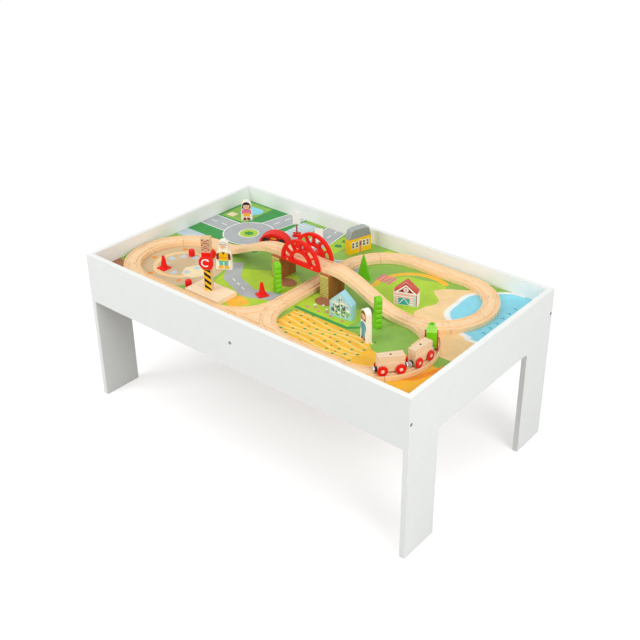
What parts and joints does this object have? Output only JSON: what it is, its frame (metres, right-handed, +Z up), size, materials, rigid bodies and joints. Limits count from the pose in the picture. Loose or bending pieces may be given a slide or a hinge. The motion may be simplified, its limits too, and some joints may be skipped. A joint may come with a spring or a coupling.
{
  "type": "train table",
  "caption": "Low white play table with a rimmed tray, holding a wooden toy railway with a bridge, a crane, a train that runs on a curve, a car and loose wooden scenery.",
  "frame": {"origin": "centre of the table's plan, on the floor", "axes": "+X along the table's length, to the right seen from the long side with the middle bolt; +Y towards the back; +Z up"},
  "size_m": [0.957, 0.56, 0.505],
  "materials": {
    "white_panel": "satin white paint",
    "play_print": "printed and lacquered",
    "pine": "planed, bare",
    "track_wood": "sanded, clear lacquer",
    "bolt_steel": "dark zinc",
    "nut_steel": "bright zinc",
    "pier_wood": "stained, printed front",
    "red_paint": "satin red paint",
    "pin_wood": "pale wood",
    "hazard_paint": "printed stripes",
    "lattice_print": "printed lattice",
    "loco_green": "green paint",
    "wheel_red": "gloss red",
    "coupler_black": "gloss black round a magnet",
    "tyre_black": "matte black",
    "figure_wood": "pale wood, printed front",
    "tree_green": "green paint",
    "house_blue": "light blue paint, printed front",
    "barn_red": "red paint, printed front",
    "house_yellow": "yellow paint, printed front",
    "sign_white": "white paint"
  },
  "bodies": {
    "table": {"front_apron": "white_panel", "back_apron": "white_panel", "left_end_panel": "white_panel", "right_end_panel": "white_panel", "play_board": "play_print", "board_ledgers": "pine", "cross_rail": "pine", "panel_bolts": "bolt_steel", "barrel_nuts": "nut_steel", "panel_dowels": "pine", "left_curves": "track_wood", "front_right_curves": "track_wood", "back_right_curves": "track_wood", "back_left_curves": "track_wood", "straight_tracks": "track_wood", "front_switch": "track_wood", "right_switch": "track_wood", "left_ramp": "track_wood", "right_ramp": "track_wood", "bridge_deck": "track_wood", "bridge_piers": "pier_wood", "front_arch": "red_paint", "back_arch": "red_paint", "arch_pins": "pin_wood", "crane_platform": "track_wood", "crane_mast": "hazard_paint", "crane_hub": "red_paint", "crane_head": "lattice_print"},
    "winch": {"winch_discs": "red_paint"},
    "loco": {"loco_body": "loco_green", "loco_couplers": "coupler_black"},
    "loco_front_wheelset": {"loco_front_wheels": "wheel_red"},
    "loco_rear_wheelset": {"loco_rear_wheels": "wheel_red"},
    "wagon_b": {"wagon_b_body": "track_wood", "wagon_b_couplers": "coupler_black"},
    "wagon_b_front_wheelset": {"wagon_b_front_wheels": "wheel_red"},
    "wagon_b_rear_wheelset": {"wagon_b_rear_wheels": "wheel_red"},
    "wagon_a": {"wagon_a_body": "track_wood", "wagon_a_couplers": "coupler_black"},
    "wagon_a_front_wheelset": {"wagon_a_front_wheels": "wheel_red"},
    "wagon_a_rear_wheelset": {"wagon_a_rear_wheels": "wheel_red"},
    "car": {"car_body": "red_paint"},
    "car_front_wheelset": {"car_front_wheels": "tyre_black"},
    "car_rear_wheelset": {"car_rear_wheels": "tyre_black"},
    "girl": {"girl_figure": "figure_wood"},
    "worker": {"worker_figure": "figure_wood"},
    "lady": {"lady_figure": "figure_wood"},
    "left_tree": {"left_poplar": "tree_green"},
    "right_tree": {"right_poplar": "tree_green"},
    "fir": {"pointed_tree": "tree_green"},
    "house": {"blue_house": "house_blue"},
    "barn_block": {"barn": "barn_red"},
    "long_house": {"yellow_house": "house_yellow"},
    "sign_a": {"tall_sign": "sign_white"},
    "sign_b": {"small_sign": "sign_white"},
    "cone_a": {"near_cone": "red_paint"},
    "cone_b": {"loop_cone": "red_paint"},
    "barrel_a": {"back_barrel": "red_paint"},
    "barrel_b": {"front_barrel": "red_paint"}
  },
  "joints": [
    {"name": "winch_turn", "type": "hinge", "parent": "table", "child": "winch", "pos_m": [-0.16128, -0.18119, 0.44864], "axis": [0.5299, -0.848, 0], "continuous": true},
    {"name": "train_travel", "type": "hinge", "parent": "table", "child": "loco", "pos_m": [0.273, -0.119, 0.372], "axis": [0, 0, 1], "range_deg": [-36, 38]},
    {"name": "loco_front_roll", "type": "hinge", "parent": "loco", "child": "loco_front_wheelset", "pos_m": [0.35955, -0.03733, 0.38055], "axis": [0.8288, 0.5596, 0], "range_deg": [-400, 400]},
    {"name": "loco_rear_roll", "type": "hinge", "parent": "loco", "child": "loco_rear_wheelset", "pos_m": [0.3811, -0.06924, 0.38055], "axis": [0.8288, 0.5596, 0], "range_deg": [-400, 400]},
    {"name": "wagon_b_travel", "type": "hinge", "parent": "table", "child": "wagon_b", "pos_m": [0.273, -0.119, 0.372], "axis": [0, 0, 1], "range_deg": [-36, 38]},
    {"name": "wagon_b_front_roll", "type": "hinge", "parent": "wagon_b", "child": "wagon_b_front_wheelset", "pos_m": [0.39103, -0.10386, 0.38055], "axis": [0.9994, -0.0349, 0], "range_deg": [-400, 400]},
    {"name": "wagon_b_rear_roll", "type": "hinge", "parent": "wagon_b", "child": "wagon_b_rear_wheelset", "pos_m": [0.38969, -0.14234, 0.38055], "axis": [0.9994, -0.0349, 0], "range_deg": [-400, 400]},
    {"name": "wagon_a_travel", "type": "hinge", "parent": "table", "child": "wagon_a", "pos_m": [0.273, -0.119, 0.372], "axis": [0, 0, 1], "range_deg": [-36, 38]},
    {"name": "wagon_a_front_roll", "type": "hinge", "parent": "wagon_a", "child": "wagon_a_front_wheelset", "pos_m": [0.37736, -0.17618, 0.38055], "axis": [0.7877, -0.6161, 0], "range_deg": [-400, 400]},
    {"name": "wagon_a_rear_roll", "type": "hinge", "parent": "wagon_a", "child": "wagon_a_rear_wheelset", "pos_m": [0.35364, -0.20651, 0.38055], "axis": [0.7877, -0.6161, 0], "range_deg": [-400, 400]},
    {"name": "car_drive", "type": "slide", "parent": "table", "child": "car", "axis": [0.9063, 0.4226, 0], "range_m": [-0.1, 0.1]},
    {"name": "car_front_roll", "type": "hinge", "parent": "car", "child": "car_front_wheelset", "pos_m": [-0.21025, 0.12463, 0.3688], "axis": [-0.4226, 0.9063, 0], "range_deg": [-720, 720]},
    {"name": "car_rear_roll", "type": "hinge", "parent": "car", "child": "car_rear_wheelset", "pos_m": [-0.2478, 0.10712, 0.3688], "axis": [-0.4226, 0.9063, 0], "range_deg": [-720, 720]},
    {"name": "girl_lift", "type": "slide", "parent": "table", "child": "girl", "axis": [0, 0, 1], "range_m": [0, 0.06]},
    {"name": "worker_lift", "type": "slide", "parent": "table", "child": "worker", "axis": [0, 0, 1], "range_m": [0, 0.06]},
    {"name": "lady_lift", "type": "slide", "parent": "table", "child": "lady", "axis": [0, 0, 1], "range_m": [0, 0.06]},
    {"name": "left_tree_lift", "type": "slide", "parent": "table", "child": "left_tree", "axis": [0, 0, 1], "range_m": [0, 0.06]},
    {"name": "right_tree_lift", "type": "slide", "parent": "table", "child": "right_tree", "axis": [0, 0, 1], "range_m": [0, 0.06]},
    {"name": "fir_lift", "type": "slide", "parent": "table", "child": "fir", "axis": [0, 0, 1], "range_m": [0, 0.06]},
    {"name": "house_lift", "type": "slide", "parent": "table", "child": "house", "axis": [0, 0, 1], "range_m": [0, 0.06]},
    {"name": "barn_block_lift", "type": "slide", "parent": "table", "child": "barn_block", "axis": [0, 0, 1], "range_m": [0, 0.06]},
    {"name": "long_house_lift", "type": "slide", "parent": "table", "child": "long_house", "axis": [0, 0, 1], "range_m": [0, 0.06]},
    {"name": "sign_a_lift", "type": "slide", "parent": "table", "child": "sign_a", "axis": [0, 0, 1], "range_m": [0, 0.06]},
    {"name": "sign_b_lift", "type": "slide", "parent": "table", "child": "sign_b", "axis": [0, 0, 1], "range_m": [0, 0.06]},
    {"name": "cone_a_lift", "type": "slide", "parent": "table", "child": "cone_a", "axis": [0, 0, 1], "range_m": [0, 0.06]},
    {"name": "cone_b_lift", "type": "slide", "parent": "table", "child": "cone_b", "axis": [0, 0, 1], "range_m": [0, 0.06]},
    {"name": "barrel_a_lift", "type": "slide", "parent": "table", "child": "barrel_a", "axis": [0, 0, 1], "range_m": [0, 0.06]},
    {"name": "barrel_b_lift", "type": "slide", "parent": "table", "child": "barrel_b", "axis": [0, 0, 1], "range_m": [0, 0.06]}
  ],
  "couplings": [
    {"joint": "loco_front_roll", "follows": "train_travel", "ratio": -10.438},
    {"joint": "loco_rear_roll", "follows": "train_travel", "ratio": -10.438},
    {"joint": "wagon_b_travel", "follows": "train_travel", "ratio": 1},
    {"joint": "wagon_b_front_roll", "follows": "train_travel", "ratio": -10.438},
    {"joint": "wagon_b_rear_roll", "follows": "train_travel", "ratio": -10.438},
    {"joint": "wagon_a_travel", "follows": "train_travel", "ratio": 1},
    {"joint": "wagon_a_front_roll", "follows": "train_travel", "ratio": -10.438},
    {"joint": "wagon_a_rear_roll", "follows": "train_travel", "ratio": -10.438},
    {"joint": "car_front_roll", "follows": "car_drive", "rad_per_m": 117.65},
    {"joint": "car_rear_roll", "follows": "car_drive", "rad_per_m": 117.65}
  ]
}
